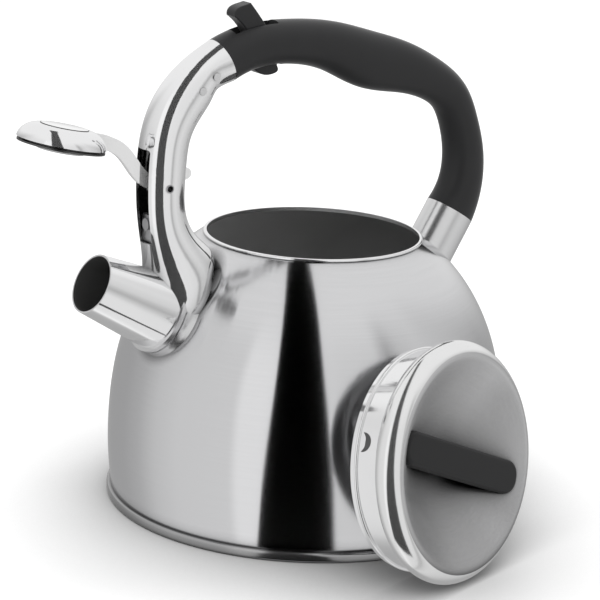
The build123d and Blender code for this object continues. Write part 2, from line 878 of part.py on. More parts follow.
# ================================================================ front bracket
with BuildPart() as front_bracket:
    add(arch_outer)
    add(arch_inner, mode=Mode.SUBTRACT)
    add(outer_vessel, mode=Mode.SUBTRACT)
    add(spout_solid, mode=Mode.SUBTRACT)
    add(collar_solid, mode=Mode.SUBTRACT)
    # front slot for the whistle arm
    with BuildSketch(Plane.YZ.offset(whistle_pivot[0] - 2 * bracket_half_width)):
        with Locations((0, mouth_height + (front_slot_top + front_slot_bottom) / 2)):
            RectangleRounded(
                front_slot_width, front_slot_top - front_slot_bottom, slot_rounding
            )
    extrude(amount=2 * bracket_half_width, mode=Mode.SUBTRACT)
    # rear slot for the arm's heel
    with BuildSketch(Plane.YZ.offset(whistle_pivot[0])):
        with Locations((0, mouth_height + (rear_slot_top + rear_slot_bottom) / 2)):
            RectangleRounded(rear_slot_width, rear_slot_top - rear_slot_bottom, slot_rounding)
    extrude(amount=2 * bracket_half_width, mode=Mode.SUBTRACT)
    with BuildSketch(Plane.XZ):
        with Locations(whistle_pivot):
            Circle(pivot_pin_radius)
    extrude(amount=2 * bracket_half_width, both=True, mode=Mode.SUBTRACT)
    add(grip_rivets.part, mode=Mode.SUBTRACT)
finish(front_bracket, "front_bracket")

# ================================================================ lid
lean = math.radians(lid_lean)
turn = math.radians(lid_turn)
lid_way = Vector(
    math.sin(turn) * math.cos(lean), -math.cos(turn) * math.cos(lean), math.sin(lean)
)
lid_level = Vector(math.cos(turn), math.sin(turn), 0)
lid_up = lid_way.cross(lid_level)
dish_radius = lid_radius - rim_width
skirt_low = -rim_rounding - skirt_depth
rim_points = [
    (skirt_radius, -rim_rounding),
    (lid_radius - rim_toe, 1 - rim_rounding),
    (lid_radius, rim_swell),
    (lid_radius - rim_shoulder, dish_edge - rim_shoulder),
    (dish_radius + rim_crown, dish_edge + 1),
]
dish_points = [
    (dish_radius * share / 5, dish_edge - dish_depth * (1 - (share / 5) ** 2))
    for share in range(5, -1, -1)
]
lid_curve = Spline(*rim_points, *dish_points)
# the rim stands on the table
lid_height = max(
    point[0] * math.cos(lean) - point[1] * math.sin(lean)
    for point in moved_points(lid_curve, 0, 400)
)
wall_points = moved_points(vessel_curve, 0, 1000)


def lid_ring(radius, place):
    """Points of a circle about the lid's axis, from the lid's centre."""
    return [
        lid_level * radius * math.cos(math.radians(step))
        + lid_up * radius * math.sin(math.radians(step))
        + lid_way * place
        for step in range(360)
    ]


def reach_at(point):
    """How far the lid's centre is from the axis when this point meets the wall."""
    wall = min(wall_points, key=lambda spot: abs(spot[1] - lid_height - point.Z))[0]
    return point.Y + math.sqrt(max(wall**2 - (lid_side + point.X) ** 2, 0))


# the skirt leans on the vessel
skirt_edge = lid_ring(skirt_radius, skirt_low)
skirt_edge += lid_ring(skirt_radius + skirt_bead_radius, skirt_low + skirt_bead_height)
lid_front = max(reach_at(point) for point in skirt_edge) + lid_rest
lid_centre = (lid_side, -lid_front, lid_height)
lid_plane = Plane(origin=lid_centre, x_dir=lid_level, z_dir=lid_way)
lid_section = Plane(origin=lid_centre, x_dir=lid_level, z_dir=lid_level.cross(lid_way))
lid_axis = Axis(lid_centre, lid_way)
bar_plane = Plane(
    origin=lid_centre,
    x_dir=lid_level.rotate(Axis((0, 0, 0), lid_way), bar_turn),
    z_dir=lid_way,
)


def lid_form(inset):
    """Everything below the lid's top sheet, with the sheet moved down."""
    points = moved_points(lid_curve, inset, 41)
    with BuildPart() as form:
        with BuildSketch(lid_section):
            with BuildLine():
                edge = Spline(*points[:-1], (0, points[-1][1]))
                Polyline(edge @ 1, (0, skirt_low), ((edge @ 0).X, skirt_low), edge @ 0)
            make_face()
        revolve(axis=lid_axis)
    return form.part


with BuildPart() as dish_cutter:
    with BuildSketch(lid_plane.offset(-lid_radius)):
        Circle(dish_radius)
    extrude(amount=2 * lid_radius)
lid_over = lid_form(0)
lid_under = lid_form(sheet)
with BuildPart() as lid_sheet:
    add(lid_over)
    add(lid_under, mode=Mode.SUBTRACT)
with BuildPart() as lid_rim:
    add(lid_sheet.part)
    add(dish_cutter.part, mode=Mode.SUBTRACT)
finish(lid_rim, "lid_rim")
with BuildPart() as lid_screws:
    with BuildSketch(bar_plane.offset(-screw_head_drop)):
        with Locations((lid_screw_place, 0), (-lid_screw_place, 0)):
            Circle(screw_head_radius)
    extrude(amount=lid_radius)
    add(lid_under, mode=Mode.INTERSECT)
    with BuildSketch(bar_plane.offset(-screw_head_drop)):
        with Locations((lid_screw_place, 0), (-lid_screw_place, 0)):
            Circle(lid_screw_radius)
    extrude(amount=screw_head_drop + screw_engagement)
finish(lid_screws, "lid_screws")
with BuildPart() as lid_dish:
    add(lid_sheet.part)
    add(dish_cutter.part, mode=Mode.INTERSECT)
    add(lid_screws.part, mode=Mode.SUBTRACT)
finish(lid_dish, "lid_dish")

with BuildPart() as lid_skirt:
    with BuildSketch(lid_section):
        with Locations((skirt_radius - sheet / 2, skirt_low / 2 - rim_rounding / 2 + sheet / 2)):
            Rectangle(sheet, skirt_depth + sheet)
        with Locations((skirt_radius, skirt_low + skirt_bead_height)):
            Circle(skirt_bead_radius)
    revolve(axis=lid_axis)
finish(lid_skirt, "lid_skirt")

with BuildPart() as lid_bar:
    with BuildSketch(bar_plane.offset(bar_top - bar_thickness)):
        RectangleRounded(2 * bar_half_length, 2 * bar_half_width, bar_corner)
    extrude(amount=bar_thickness)
    bar_top_face = lid_bar.faces().sort_by(Axis((0, 0, 0), lid_way))[-1]
    fillet(bar_top_face.edges(), bar_rounding)
    add(lid_over, mode=Mode.SUBTRACT)
    add(lid_screws.part, mode=Mode.SUBTRACT)
finish(lid_bar, "lid_bar")
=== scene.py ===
import logging
import math
from collections.abc import Sequence
from dataclasses import dataclass
from enum import Enum
from typing import Union

import bmesh
import bpy
import numpy as np
from mathutils import Matrix, Vector


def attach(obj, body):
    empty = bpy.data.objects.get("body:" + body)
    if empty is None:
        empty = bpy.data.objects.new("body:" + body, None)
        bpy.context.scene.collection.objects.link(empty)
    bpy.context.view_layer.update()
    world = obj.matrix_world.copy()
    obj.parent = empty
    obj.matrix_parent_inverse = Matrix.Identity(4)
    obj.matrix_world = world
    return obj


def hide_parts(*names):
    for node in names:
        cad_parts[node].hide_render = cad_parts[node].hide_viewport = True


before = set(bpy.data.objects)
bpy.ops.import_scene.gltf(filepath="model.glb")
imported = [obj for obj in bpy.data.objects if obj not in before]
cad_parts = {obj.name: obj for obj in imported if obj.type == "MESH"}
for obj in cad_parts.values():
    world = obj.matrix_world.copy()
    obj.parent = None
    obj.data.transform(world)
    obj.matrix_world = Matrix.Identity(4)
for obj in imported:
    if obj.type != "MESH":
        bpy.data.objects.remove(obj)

LOG = logging.getLogger("kettle")
MM = 0.001
Point = tuple[float, float]
Triple = tuple[float, float, float]
Form = bmesh.types.BMesh
Socket = bpy.types.NodeSocket
Value = Union[Socket, Triple, float]

# how close two points of a turned form are joined, and how short an edge is dropped
MERGE = 0.002
DEGENERATE = 0.0005
# how near the axis a point counts as on it
ON_AXIS = 1e-6
# points of the fine line from which smooth values are read
FINE_POINTS = 400
# the angles in degrees past which an edge stays sharp, on new pieces and on the solids
SHARP = 35.0
SOLID_SHARP = 30.0
# how close a solid's loose corners are joined, in metres
WELD = 1e-6
# the places of a Mix node's two colours and of its result
MIX_LOW, MIX_HIGH, MIX_RESULT = 6, 7, 2
# the map that turned forms carry
AROUND = "around"
# the range of a noise or a share
UNIT = (0.0, 1.0)


class Body(Enum):
    """The bodies that new pieces ride on."""

    KETTLE = "kettle"
    WHISTLE = "whistle"
    LID = "lid"


# ---- lines and forms
def smooth_line(points: Sequence[Point], count: int) -> list[Point]:
    """Place points evenly along a smooth curve through a few points.

    Args:
        points: the points that the curve passes, in order.
        count: how many points to place.

    Returns:
        The placed points, the first and last being the curve's ends.
    """
    given = np.array(points, float)
    steps = np.linalg.norm(np.diff(given, axis=0), axis=1)
    knots = np.concatenate([[0.0], np.cumsum(steps)])
    size = len(given)
    matrix = np.zeros((size, size))
    right = np.zeros_like(given)
    slopes = np.diff(given, axis=0) / steps[:, None]
    for i in range(1, size - 1):
        matrix[i, i - 1] = steps[i]
        matrix[i, i] = 2 * (steps[i - 1] + steps[i])
        matrix[i, i + 1] = steps[i - 1]
        right[i] = 3 * (steps[i] * slopes[i - 1] + steps[i - 1] * slopes[i])
    # the end slopes follow the parabola through the nearest three points
    matrix[0, 0] = matrix[-1, -1] = 1.0
    first = steps[0] / (steps[0] + steps[1])
    last = steps[-1] / (steps[-1] + steps[-2])
    right[0] = slopes[0] + (slopes[0] - slopes[1]) * first
    right[-1] = slopes[-1] + (slopes[-1] - slopes[-2]) * last
    tangents = np.linalg.solve(matrix, right)
    placed = []
    for place in np.linspace(0, knots[-1], count):
        i = min(int(np.searchsorted(knots, place, side="right")) - 1, size - 2)
        t = (place - knots[i]) / steps[i]
        point = (
            (2 * t**3 - 3 * t**2 + 1) * given[i]
            + (t**3 - 2 * t**2 + t) * steps[i] * tangents[i]
            + (-2 * t**3 + 3 * t**2) * given[i + 1]
            + (t**3 - t**2) * steps[i] * tangents[i + 1]
        )
        placed.append(tuple(float(value) for value in point))
    return placed


def smooth_values(places: list[float], values: list[float], wanted: np.ndarray) -> list[float]:
    """Read a smooth curve of values.

    Args:
        places: where the values are given.
        values: the given values.
        wanted: where to read.

    Returns:
        The value at each wanted place.
    """
    xs, ys = zip(*smooth_line(list(zip(places, values)), FINE_POINTS))
    return [float(value) for value in np.interp(wanted, xs, ys)]


def beside(points: list[Point], distance: float) -> list[Point]:
    """Move a line of points to its left.

    Args:
        points: the line's points.
        distance: how far.

    Returns:
        The moved points.
    """
    line = np.array(points)
    ways = np.gradient(line, axis=0)
    ways /= np.linalg.norm(ways, axis=1)[:, None]
    moved = line + distance * np.stack([-ways[:, 1], ways[:, 0]], axis=1)
    return [(float(x), float(y)) for x, y in moved]


def rounded(points: list[Point], radius: float, steps: int) -> list[Point]:
    """Round every inner corner of an open line of points.

    Args:
        points: the line's points.
        radius: the curve's radius, cut down where a side is too short.
        steps: how many pieces each curve has.

    Returns:
        The line's points, with a curve for each corner.
    """
    line = [Vector(point) for point in points]
    made = [points[0]]
    for before, corner, after in zip(line, line[1:], line[2:]):
        a, b = (before - corner).normalized(), (after - corner).normalized()
        room = min((before - corner).length, (after - corner).length) / 2
        reach = min(radius / math.tan(a.angle(b) / 2), room)
        for i in range(steps + 1):
            t = i / steps
            spot = corner + a * reach * (1 - t) ** 2 + b * reach * t**2
            made.append((spot.x, spot.y))
    made.append(points[-1])
    return made


@dataclass(frozen=True)
class Axes:
    """A place in millimetres and two directions, for a turned form."""

    origin: Vector
    across: Vector
    along: Vector

    def matrix(self) -> Matrix:
        """Turn the axes into a matrix.

        Returns:
            From (across, sideways, along) in millimetres to the kettle's frame in metres.
        """
        side = self.along.cross(self.across)
        turn = Matrix((self.across, side, self.along)).transposed().to_4x4()
        return Matrix.Translation(self.origin * MM) @ turn @ Matrix.Scale(MM, 4)


UPRIGHT = Axes(Vector((0, 0, 0)), Vector((1, 0, 0)), Vector((0, 0, 1)))


def wrap(form: Form) -> None:
    """Give a turned form a map: around its axis, and along its profile in millimetres.

    Args:
        form: the form, with its axis along Z.
    """
    layer = form.loops.layers.uv.new(AROUND)
    for face in form.faces:
        middle = face.calc_center_median()
        base = math.atan2(middle.y, middle.x)
        for loop in face.loops:
            spot = loop.vert.co
            angle = math.atan2(spot.y, spot.x) if spot.xy.length > ON_AXIS else base
            angle += math.tau * round((base - angle) / math.tau)
            loop[layer].uv = (angle / math.tau, spot.xy.length + spot.z)


def turned(profile: list[Point], axes: Axes, steps: int, closed: bool = True) -> Form:
    """Turn a profile of (radius, height) points about an axis.

    Args:
        profile: the points, in millimetres.
        axes: where the axis is.
        steps: pieces around.
        closed: whether the last point joins the first.

    Returns:
        The turned form in metres, with its seam and poles closed.
    """
    form = bmesh.new()
    verts = [form.verts.new((radius, 0, height)) for radius, height in profile]
    ends = zip(verts, verts[1:] + verts[:1] if closed else verts[1:])
    edges = [form.edges.new(pair) for pair in ends]
    bmesh.ops.spin(
        form,
        geom=verts + edges,
        cent=(0, 0, 0), axis=(0, 0, 1), dvec=(0, 0, 0),
        angle=math.tau, steps=steps, use_merge=True, use_duplicate=False,
    )
    bmesh.ops.remove_doubles(form, verts=form.verts, dist=MERGE)
    bmesh.ops.dissolve_degenerate(form, dist=DEGENERATE, edges=form.edges)
    bmesh.ops.recalc_face_normals(form, faces=form.faces)
    wrap(form)
    form.transform(axes.matrix())
    form.normal_update()
    return form


@dataclass(frozen=True)
class Station:
    """One oval cross section of the handle, in millimetres."""

    x: float
    z: float
    half_depth: float
    half_width: float
    way: float | None = None


def station_line(stations: Sequence[Station], count: int) -> list[Station]:
    """Fill in smoothly between the cross sections that give a form.

    Args:
        stations: the given cross sections, with directions in degrees at the ends.
        count: how many to return.

    Returns:
        Evenly placed cross sections, each with its direction in radians.
    """
    centres = smooth_line([(s.x, s.z) for s in stations], count)
    steps = [math.dist((a.x, a.z), (b.x, b.z)) for a, b in zip(stations, stations[1:])]
    places = [sum(steps[:i]) for i in range(len(stations))]
    even = np.linspace(0, places[-1], count)
    depths = smooth_values(places, [s.half_depth for s in stations], even)
    widths = smooth_values(places, [s.half_width for s in stations], even)
    ways = np.gradient(np.array(centres), axis=0)
    angles = np.unwrap(np.arctan2(ways[:, 1], ways[:, 0]))
    for end, given in ((0, stations[0]), (-1, stations[-1])):
        if given.way is not None:
            angles[end] = math.radians(given.way)
    return [
        Station(x, z, depth, width, way)
        for (x, z), depth, width, way in zip(centres, depths, widths, angles)
    ]


def lofted(stations: list[Station], segments: int) -> Form:
    """Skin a row of oval cross sections that stand in the handle's plane.

    Args:
        stations: cross sections with their directions in radians.
        segments: pieces around each oval.

    Returns:
        A closed form in metres.
    """
    form = bmesh.new()
    rings = []
    for place in stations:
        way = Vector((math.cos(place.way), 0, math.sin(place.way)))
        side = Vector((0, 1, 0))
        turn = Matrix((side, way.cross(side), way)).transposed().to_4x4()
        size = Matrix.Diagonal((place.half_width, place.half_depth, 1, 1))
        spot = Matrix.Translation((place.x, 0, place.z))
        made = bmesh.ops.create_circle(
            form, cap_ends=False, radius=1, segments=segments, matrix=spot @ turn @ size
        )
        rings.append(list({edge for vert in made["verts"] for edge in vert.link_edges}))
    for low, high in zip(rings, rings[1:]):
        bmesh.ops.bridge_loops(form, edges=low + high)
    for ring in (rings[0], rings[-1]):
        bmesh.ops.contextual_create(form, geom=ring)
    bmesh.ops.recalc_face_normals(form, faces=form.faces)
    form.transform(Matrix.Scale(MM, 4))
    return form


def block(low: Triple, high: Triple) -> Form:
    """Make a block in metres between two corners.

    Args:
        low: its lowest corner, in millimetres.
        high: its highest corner, in millimetres.

    Returns:
        The block.
    """
    form = bmesh.new()
    near, far = Vector(low), Vector(high)
    place = Matrix.Translation((near + far) / 2) @ Matrix.Diagonal((*(far - near), 1))
    bmesh.ops.create_cube(form, size=1, matrix=place)
    form.transform(Matrix.Scale(MM, 4))
    return form


def stand(name: str, form: Form, *finishes: bpy.types.Material) -> bpy.types.Object:
    """Put a form into the scene as an object.

    Args:
        name: the object's name.
        form: its shape, which is used up.
        finishes: its materials, in slot order.

    Returns:
        The object.
    """
    mesh = bpy.data.meshes.new(name)
    form.to_mesh(mesh)
    form.free()
    for finish in finishes:
        mesh.materials.append(finish)
    thing = bpy.data.objects.new(name, mesh)
    bpy.context.scene.collection.objects.link(thing)
    return thing


# ---- finishes
class Nodes:
    """A material's nodes, made and joined in short calls."""

    def __init__(self, name: str) -> None:
        """Start a material with a surface shader and its output.

        Args:
            name: the material's name.
        """
        self.material = bpy.data.materials.new(name)
        self.material.use_nodes = True
        self.tree = self.material.node_tree
        self.tree.nodes.clear()
        self.shader = self.add("ShaderNodeBsdfPrincipled")
        output = self.add("ShaderNodeOutputMaterial")
        self.feed(self.shader.outputs["BSDF"], output.inputs["Surface"])

    def add(self, kind: str, **values: object) -> bpy.types.Node:
        """Add a node.

        Args:
            kind: the node's type.
            values: its properties.

        Returns:
            The node.
        """
        node = self.tree.nodes.new(kind)
        for name, value in values.items():
            setattr(node, name, value)
        return node

    def feed(self, value: Value, into: Socket) -> None:
        """Join a socket to an input, or set the input itself.

        Args:
            value: the socket, number, vector or colour.
            into: the input.
        """
        if isinstance(value, Socket):
            self.tree.links.new(value, into)
        elif into.type == "RGBA":
            into.default_value = (*value, 1)
        else:
            into.default_value = value

    def surface(self, inputs: dict[str, Value]) -> None:
        """Feed the surface shader.

        Args:
            inputs: what goes into each of its inputs, by name.
        """
        for name, value in inputs.items():
            self.feed(value, self.shader.inputs[name])

    def spot(self) -> Socket:
        """The place on the piece, in Object coordinates."""
        return self.add("ShaderNodeTexCoord").outputs["Object"]

    def math(self, operation: str, *values: Value) -> Socket:
        """Work out a number.

        Args:
            operation: the Math node's operation.
            values: its inputs, in order.

        Returns:
            The result.
        """
        node = self.add("ShaderNodeMath", operation=operation)
        for value, socket in zip(values, node.inputs):
            self.feed(value, socket)
        return node.outputs[0]

    def noise(self, spot: Socket, scale: float, detail: float) -> Socket:
        """Read a noise.

        Args:
            spot: where to read it.
            scale: how fine it is.
            detail: how many finer layers it has.

        Returns:
            A value between 0 and 1.
        """
        node = self.add("ShaderNodeTexNoise")
        self.feed(spot, node.inputs["Vector"])
        self.feed(scale, node.inputs["Scale"])
        self.feed(detail, node.inputs["Detail"])
        return node.outputs["Fac"]

    def spread(self, value: Socket, given: Point, wanted: Point, way: str = "LINEAR") -> Socket:
        """Map one range of values onto another, held at its ends.

        Args:
            value: the value.
            given: the range that it comes in.
            wanted: the range that it leaves in.
            way: the kind of step between the ends.

        Returns:
            The mapped value.
        """
        node = self.add("ShaderNodeMapRange", interpolation_type=way)
        self.feed(value, node.inputs["Value"])
        for name, end in zip(("From Min", "From Max", "To Min", "To Max"), given + wanted):
            self.feed(end, node.inputs[name])
        return node.outputs["Result"]

    def blend(self, share: Socket, low: Value, high: Value) -> Socket:
        """Blend two colours.

        Args:
            share: 0 for the first colour and 1 for the second.
            low: the first colour.
            high: the second colour.

        Returns:
            The blended colour.
        """
        node = self.add("ShaderNodeMix", data_type="RGBA")
        self.feed(share, node.inputs["Factor"])
        self.feed(low, node.inputs[MIX_LOW])
        self.feed(high, node.inputs[MIX_HIGH])
        return node.outputs[MIX_RESULT]

    def openness(self, reach: float, power: float, samples: int = 8) -> Socket:
        """Tell how free a place is of what stands near it.

        Args:
            reach: how far it looks, in metres.
            power: how fast the value falls.
            samples: how many ways it looks.

        Returns:
            A value between 0 and 1, which is free.
        """
        near = self.add("ShaderNodeAmbientOcclusion", samples=samples)
        self.feed(reach, near.inputs["Distance"])
        return self.math("POWER", near.outputs["AO"], power)

    def bump(self, height: Socket, strength: float, depth: float) -> None:
        """Drive the shader's normal from a height.

        Args:
            height: a value between 0 and 1.
            strength: how strongly it acts.
            depth: the height's range, in metres.
        """
        node = self.add("ShaderNodeBump")
        self.feed(strength, node.inputs["Strength"])
        self.feed(depth, node.inputs["Distance"])
        self.feed(height, node.inputs["Height"])
        self.surface({"Normal": node.outputs["Normal"]})


@dataclass(frozen=True)
class BrushedSteel:
    """Satin steel with fine lines around the piece's axis."""

    name: str
    dark: Triple = (0.68, 0.68, 0.69)
    light: Triple = (0.75, 0.75, 0.76)
    roughness: float = 0.13
    unevenness: float = 0.02
    anisotropy: float = 1.0
    anisotropy_turn: float = 0.25
    # the brushing: how many streaks around and along the map, how fine and how deep
    streaks: float = 9.0
    lines: float = 6.0
    detail: float = 6.0
    relief: float = 0.04
    depth: float = 0.0002
    metal: float = 1.0
    # painted shade: how far, how fast and to which colour the colour darkens near other parts,
    # where shade falls
    painted_shade_reach: float = 0.0
    painted_shade_power: float = 2.2
    painted_shade_colour: Triple = (0.04, 0.04, 0.04)
    # painted shade: the grey that the colour fades to, one side darker as if less light falls
    # there, and between which X in metres
    painted_side_grey: float = 1.0
    painted_side_span: Point = (-0.05, 0.05)

    def make(self) -> bpy.types.Material:
        """Build the material on the piece's own map.

        Returns:
            The material.
        """
        nodes = Nodes(self.name)
        stretch = nodes.add("ShaderNodeMapping")
        around = nodes.add("ShaderNodeUVMap", uv_map=AROUND).outputs["UV"]
        nodes.feed(around, stretch.inputs["Vector"])
        nodes.feed((self.streaks, self.lines, 1.0), stretch.inputs["Scale"])
        fine = nodes.noise(stretch.outputs["Vector"], 1.0, self.detail)
        colour = nodes.blend(fine, self.dark, self.light)
        # painted shade: darken the colour where other parts stand near
        if self.painted_shade_reach:
            free = nodes.openness(self.painted_shade_reach, self.painted_shade_power)
            colour = nodes.blend(free, self.painted_shade_colour, colour)
        # painted shade: the colour darkens from one side to the other along X
        if self.painted_side_grey < 1:
            parts = nodes.add("ShaderNodeSeparateXYZ")
            nodes.feed(nodes.spot(), parts.inputs[0])
            across = nodes.spread(parts.outputs["X"], self.painted_side_span, UNIT)
            colour = nodes.blend(across, colour, (self.painted_side_grey, self.painted_side_grey, self.painted_side_grey))
        rough = (self.roughness - self.unevenness, self.roughness + self.unevenness)
        way = nodes.add("ShaderNodeTangent", direction_type="UV_MAP", uv_map=AROUND)
        nodes.surface(
            {
                "Base Color": colour,
                "Roughness": nodes.spread(fine, UNIT, rough),
                "Metallic": self.metal,
                "Anisotropic": self.anisotropy,
                "Anisotropic Rotation": self.anisotropy_turn,
                "Tangent": way.outputs["Tangent"],
            }
        )
        nodes.bump(fine, self.relief, self.depth)
        return nodes.material


@dataclass(frozen=True)
class PolishedSteel:
    """Mirror-polished steel with faint smears and hairline scratches."""

    name: str
    colour: Triple = (0.92, 0.92, 0.92)
    shade: Triple = (0.86, 0.86, 0.87)
    smoothest: float = 0.04
    roughest: float = 0.10
    metal: float = 0.94
    smears: float = 38.0
    smear_detail: float = 3.0
    scratches: float = 900.0
    scratch_detail: float = 2.0
    scratch_share: float = 0.004
    waves: float = 0.03
    depth: float = 0.0015
    # painted shade: how far, how fast and to which colour the colour darkens near other parts,
    # where shade falls
    painted_shade_reach: float = 0.0
    painted_shade_power: float = 1.4
    painted_shade_colour: Triple = (0.04, 0.04, 0.04)

    def make(self) -> bpy.types.Material:
        """Build the material on Object coordinates.

        Returns:
            The material.
        """
        nodes = Nodes(self.name)
        spot = nodes.spot()
        smear = nodes.noise(spot, self.smears, self.smear_detail)
        scratch = nodes.noise(spot, self.scratches, self.scratch_detail)
        colour = nodes.blend(smear, self.shade, self.colour)
        # painted shade: darken the colour where other parts stand near
        if self.painted_shade_reach:
            free = nodes.openness(self.painted_shade_reach, self.painted_shade_power)
            colour = nodes.blend(free, self.painted_shade_colour, colour)
        rough = nodes.spread(smear, UNIT, (self.smoothest, self.roughest))
        nodes.surface({"Base Color": colour, "Roughness": rough, "Metallic": self.metal})
        height = nodes.math("MULTIPLY_ADD", scratch, self.scratch_share, smear)
        nodes.bump(height, self.waves, self.depth)
        return nodes.material


@dataclass(frozen=True)
class PlainSteel:
    """Pins, straps and screws as they come from the press."""

    name: str
    dark: Triple = (0.36, 0.36, 0.37)
    light: Triple = (0.55, 0.55, 0.56)
    smoothest: float = 0.26
    roughest: float = 0.44
    blotches: float = 260.0
    detail: float = 4.0
    relief: float = 0.05
    depth: float = 0.0002

    def make(self) -> bpy.types.Material:
        """Build the material on Object coordinates.

        Returns:
            The material.
        """
        nodes = Nodes(self.name)
        blotch = nodes.noise(nodes.spot(), self.blotches, self.detail)
        rough = nodes.spread(blotch, UNIT, (self.smoothest, self.roughest))
        colour = nodes.blend(blotch, self.dark, self.light)
        nodes.surface({"Base Color": colour, "Roughness": rough, "Metallic": 1.0})
        nodes.bump(blotch, self.relief, self.depth)
        return nodes.material


@dataclass(frozen=True)
class MouldedPlastic:
    """Matte moulded plastic with a fine leather-like grain."""

    name: str
    dark: Triple = (0.014, 0.014, 0.0145)
    light: Triple = (0.020, 0.020, 0.021)
    roughness: float = 0.42
    unevenness: float = 0.05
    clouds: float = 45.0
    cloud_detail: float = 3.0
    grain: float = 2600.0
    grain_detail: float = 1.0
    relief: float = 0.12
    depth: float = 0.00012
    gloss: float = 0.25
    sheen: float = 0.0
    sheen_roughness: float = 0.28

    def make(self) -> bpy.types.Material:
        """Build the material on Object coordinates.

        Returns:
            The material.
        """
        nodes = Nodes(self.name)
        spot = nodes.spot()
        cloud = nodes.noise(spot, self.clouds, self.cloud_detail)
        grain = nodes.noise(spot, self.grain, self.grain_detail)
        rough = (self.roughness - self.unevenness, self.roughness + self.unevenness)
        nodes.surface(
            {
                "Base Color": nodes.blend(cloud, self.dark, self.light),
                "Roughness": nodes.spread(cloud, UNIT, rough),
                "Specular IOR Level": self.gloss,
                "Sheen Weight": self.sheen,
                "Sheen Roughness": self.sheen_roughness,
            }
        )
        nodes.bump(grain, self.relief, self.depth)
        return nodes.material


FINISHES = (
    # painted shade: the vessel, dish, bracket and hem finishes darken their colour near other
    # parts
    BrushedSteel("vessel_steel", painted_shade_reach=0.006),
    # the lining's colour fades along X as painted shade, darker on one side
    BrushedSteel(
        "vessel_lining", dark=(0.88, 0.88, 0.88), light=(0.94, 0.94, 0.94),
        roughness=0.5, anisotropy=0.3, metal=0.55, painted_side_grey=0.3,
    ),
    # a darker grey than the vessel's steel: partly the dish's own tone and partly painted shade
    # and reflection
    BrushedSteel(
        "dish_steel", dark=(0.56, 0.56, 0.565), light=(0.72, 0.72, 0.725),
        roughness=0.24, lines=3.0, relief=0.08, painted_shade_reach=0.055,
    ),
    PolishedSteel("polished_steel"),
    PolishedSteel("bracket_steel", painted_shade_reach=0.022),
    PolishedSteel(
        "satin_steel", colour=(0.80, 0.80, 0.80), shade=(0.72, 0.72, 0.73),
        smoothest=0.2, roughest=0.26,
    ),
    # a darker grey than the other steels: partly the hem's own tone and partly painted shade
    PolishedSteel(
        "hem_steel", colour=(0.50, 0.50, 0.50), shade=(0.42, 0.42, 0.425),
        smoothest=0.12, roughest=0.18, painted_shade_reach=0.008,
    ),
    PolishedSteel("disc_steel", colour=(0.97, 0.97, 0.97), shade=(0.93, 0.93, 0.93), metal=0.75),
    PolishedSteel(
        "rim_steel", colour=(0.88, 0.88, 0.88), shade=(0.82, 0.82, 0.82),
        smoothest=0.11, roughest=0.16,
    ),
    PolishedSteel(
        "throat_steel", colour=(0.34, 0.34, 0.34), shade=(0.28, 0.28, 0.28),
        smoothest=0.45, roughest=0.5,
    ),
    PlainSteel("plain_steel"),
    PlainSteel("core_metal", dark=(0.55, 0.55, 0.56), light=(0.68, 0.68, 0.69)),
    # painted shade: a dark steel for the seam, flange and vent, standing for the shade in their
    # gaps
    PlainSteel("groove_shade", dark=(0.10, 0.10, 0.10), light=(0.16, 0.16, 0.16)),
    MouldedPlastic("black_plastic", sheen=0.3),
    MouldedPlastic("bar_plastic", dark=(0.008, 0.008, 0.0085), light=(0.012, 0.012, 0.0125)),
    MouldedPlastic(
        "seal_rubber", dark=(0.30, 0.30, 0.30), light=(0.38, 0.38, 0.38), roughness=0.6
    ),
)


# ---- pieces
class Workshop:
    """Turns forms into dressed pieces that ride on the kettle's bodies."""

    def __init__(self) -> None:
        """Make each finish once."""
        self.finishes = {finish.name: finish.make() for finish in FINISHES}

    def piece(
        self,
        name: str,
        form: Form,
        body: Body,
        replaces: tuple[str, ...],
        slot: str,
        finishes: tuple[str, ...],
    ) -> bpy.types.Object:
        """Make a piece from a form.

        Args:
            name: the piece's name.
            form: its shape, which is used up.
            body: the body that it rides on.
            replaces: the solids that it stands for.
            slot: a material slot's name, which is not used.
            finishes: names of its finishes, in slot order.

        Returns:
            The piece.
        """
        thing = stand(name, form, *(self.finishes[finish] for finish in finishes))
        self.soften(thing.data)
        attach(thing, body.value)
        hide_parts(*replaces)
        LOG.info("made %s: %d faces", name, len(thing.data.polygons))
        return thing

    def soften(self, mesh: bpy.types.Mesh) -> None:
        """Shade a mesh smooth, apart from its sharp edges."""
        mesh.shade_smooth()
        mesh.set_sharp_from_angle(angle=math.radians(SHARP))

    def cut(self, thing: bpy.types.Object, *cutters: Form) -> None:
        """Cut forms out of a piece.

        Args:
            thing: the piece to change.
            cutters: the forms in metres, which are used up.
        """
        for cutter in cutters:
            other = stand("cutter", cutter)
            step = thing.modifiers.new("cut", "BOOLEAN")
            step.operation = "DIFFERENCE"
            step.object = other
            step.solver = "EXACT"
            graph = bpy.context.evaluated_depsgraph_get()
            result = bpy.data.meshes.new_from_object(thing.evaluated_get(graph))
            thing.modifiers.clear()
            thing.data = result
            bpy.data.objects.remove(other)
        self.soften(thing.data)

    def dress(self, finish: str, *nodes: str) -> None:
        """Give carried-over solids their finish and smooth shading.

        Args:
            finish: the finish's name.
            nodes: the solids' names.
        """
        for node in nodes:
            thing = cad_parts[node]
            thing.data.materials.clear()
            thing.data.materials.append(self.finishes[finish])
            weld = thing.modifiers.new("weld", "WELD")
            weld.merge_threshold = WELD
            split = thing.modifiers.new("edges", "EDGE_SPLIT")
            split.split_angle = math.radians(SOLID_SHARP)
            for face in thing.data.polygons:
                face.use_smooth = True
            LOG.info("dressed %s", node)


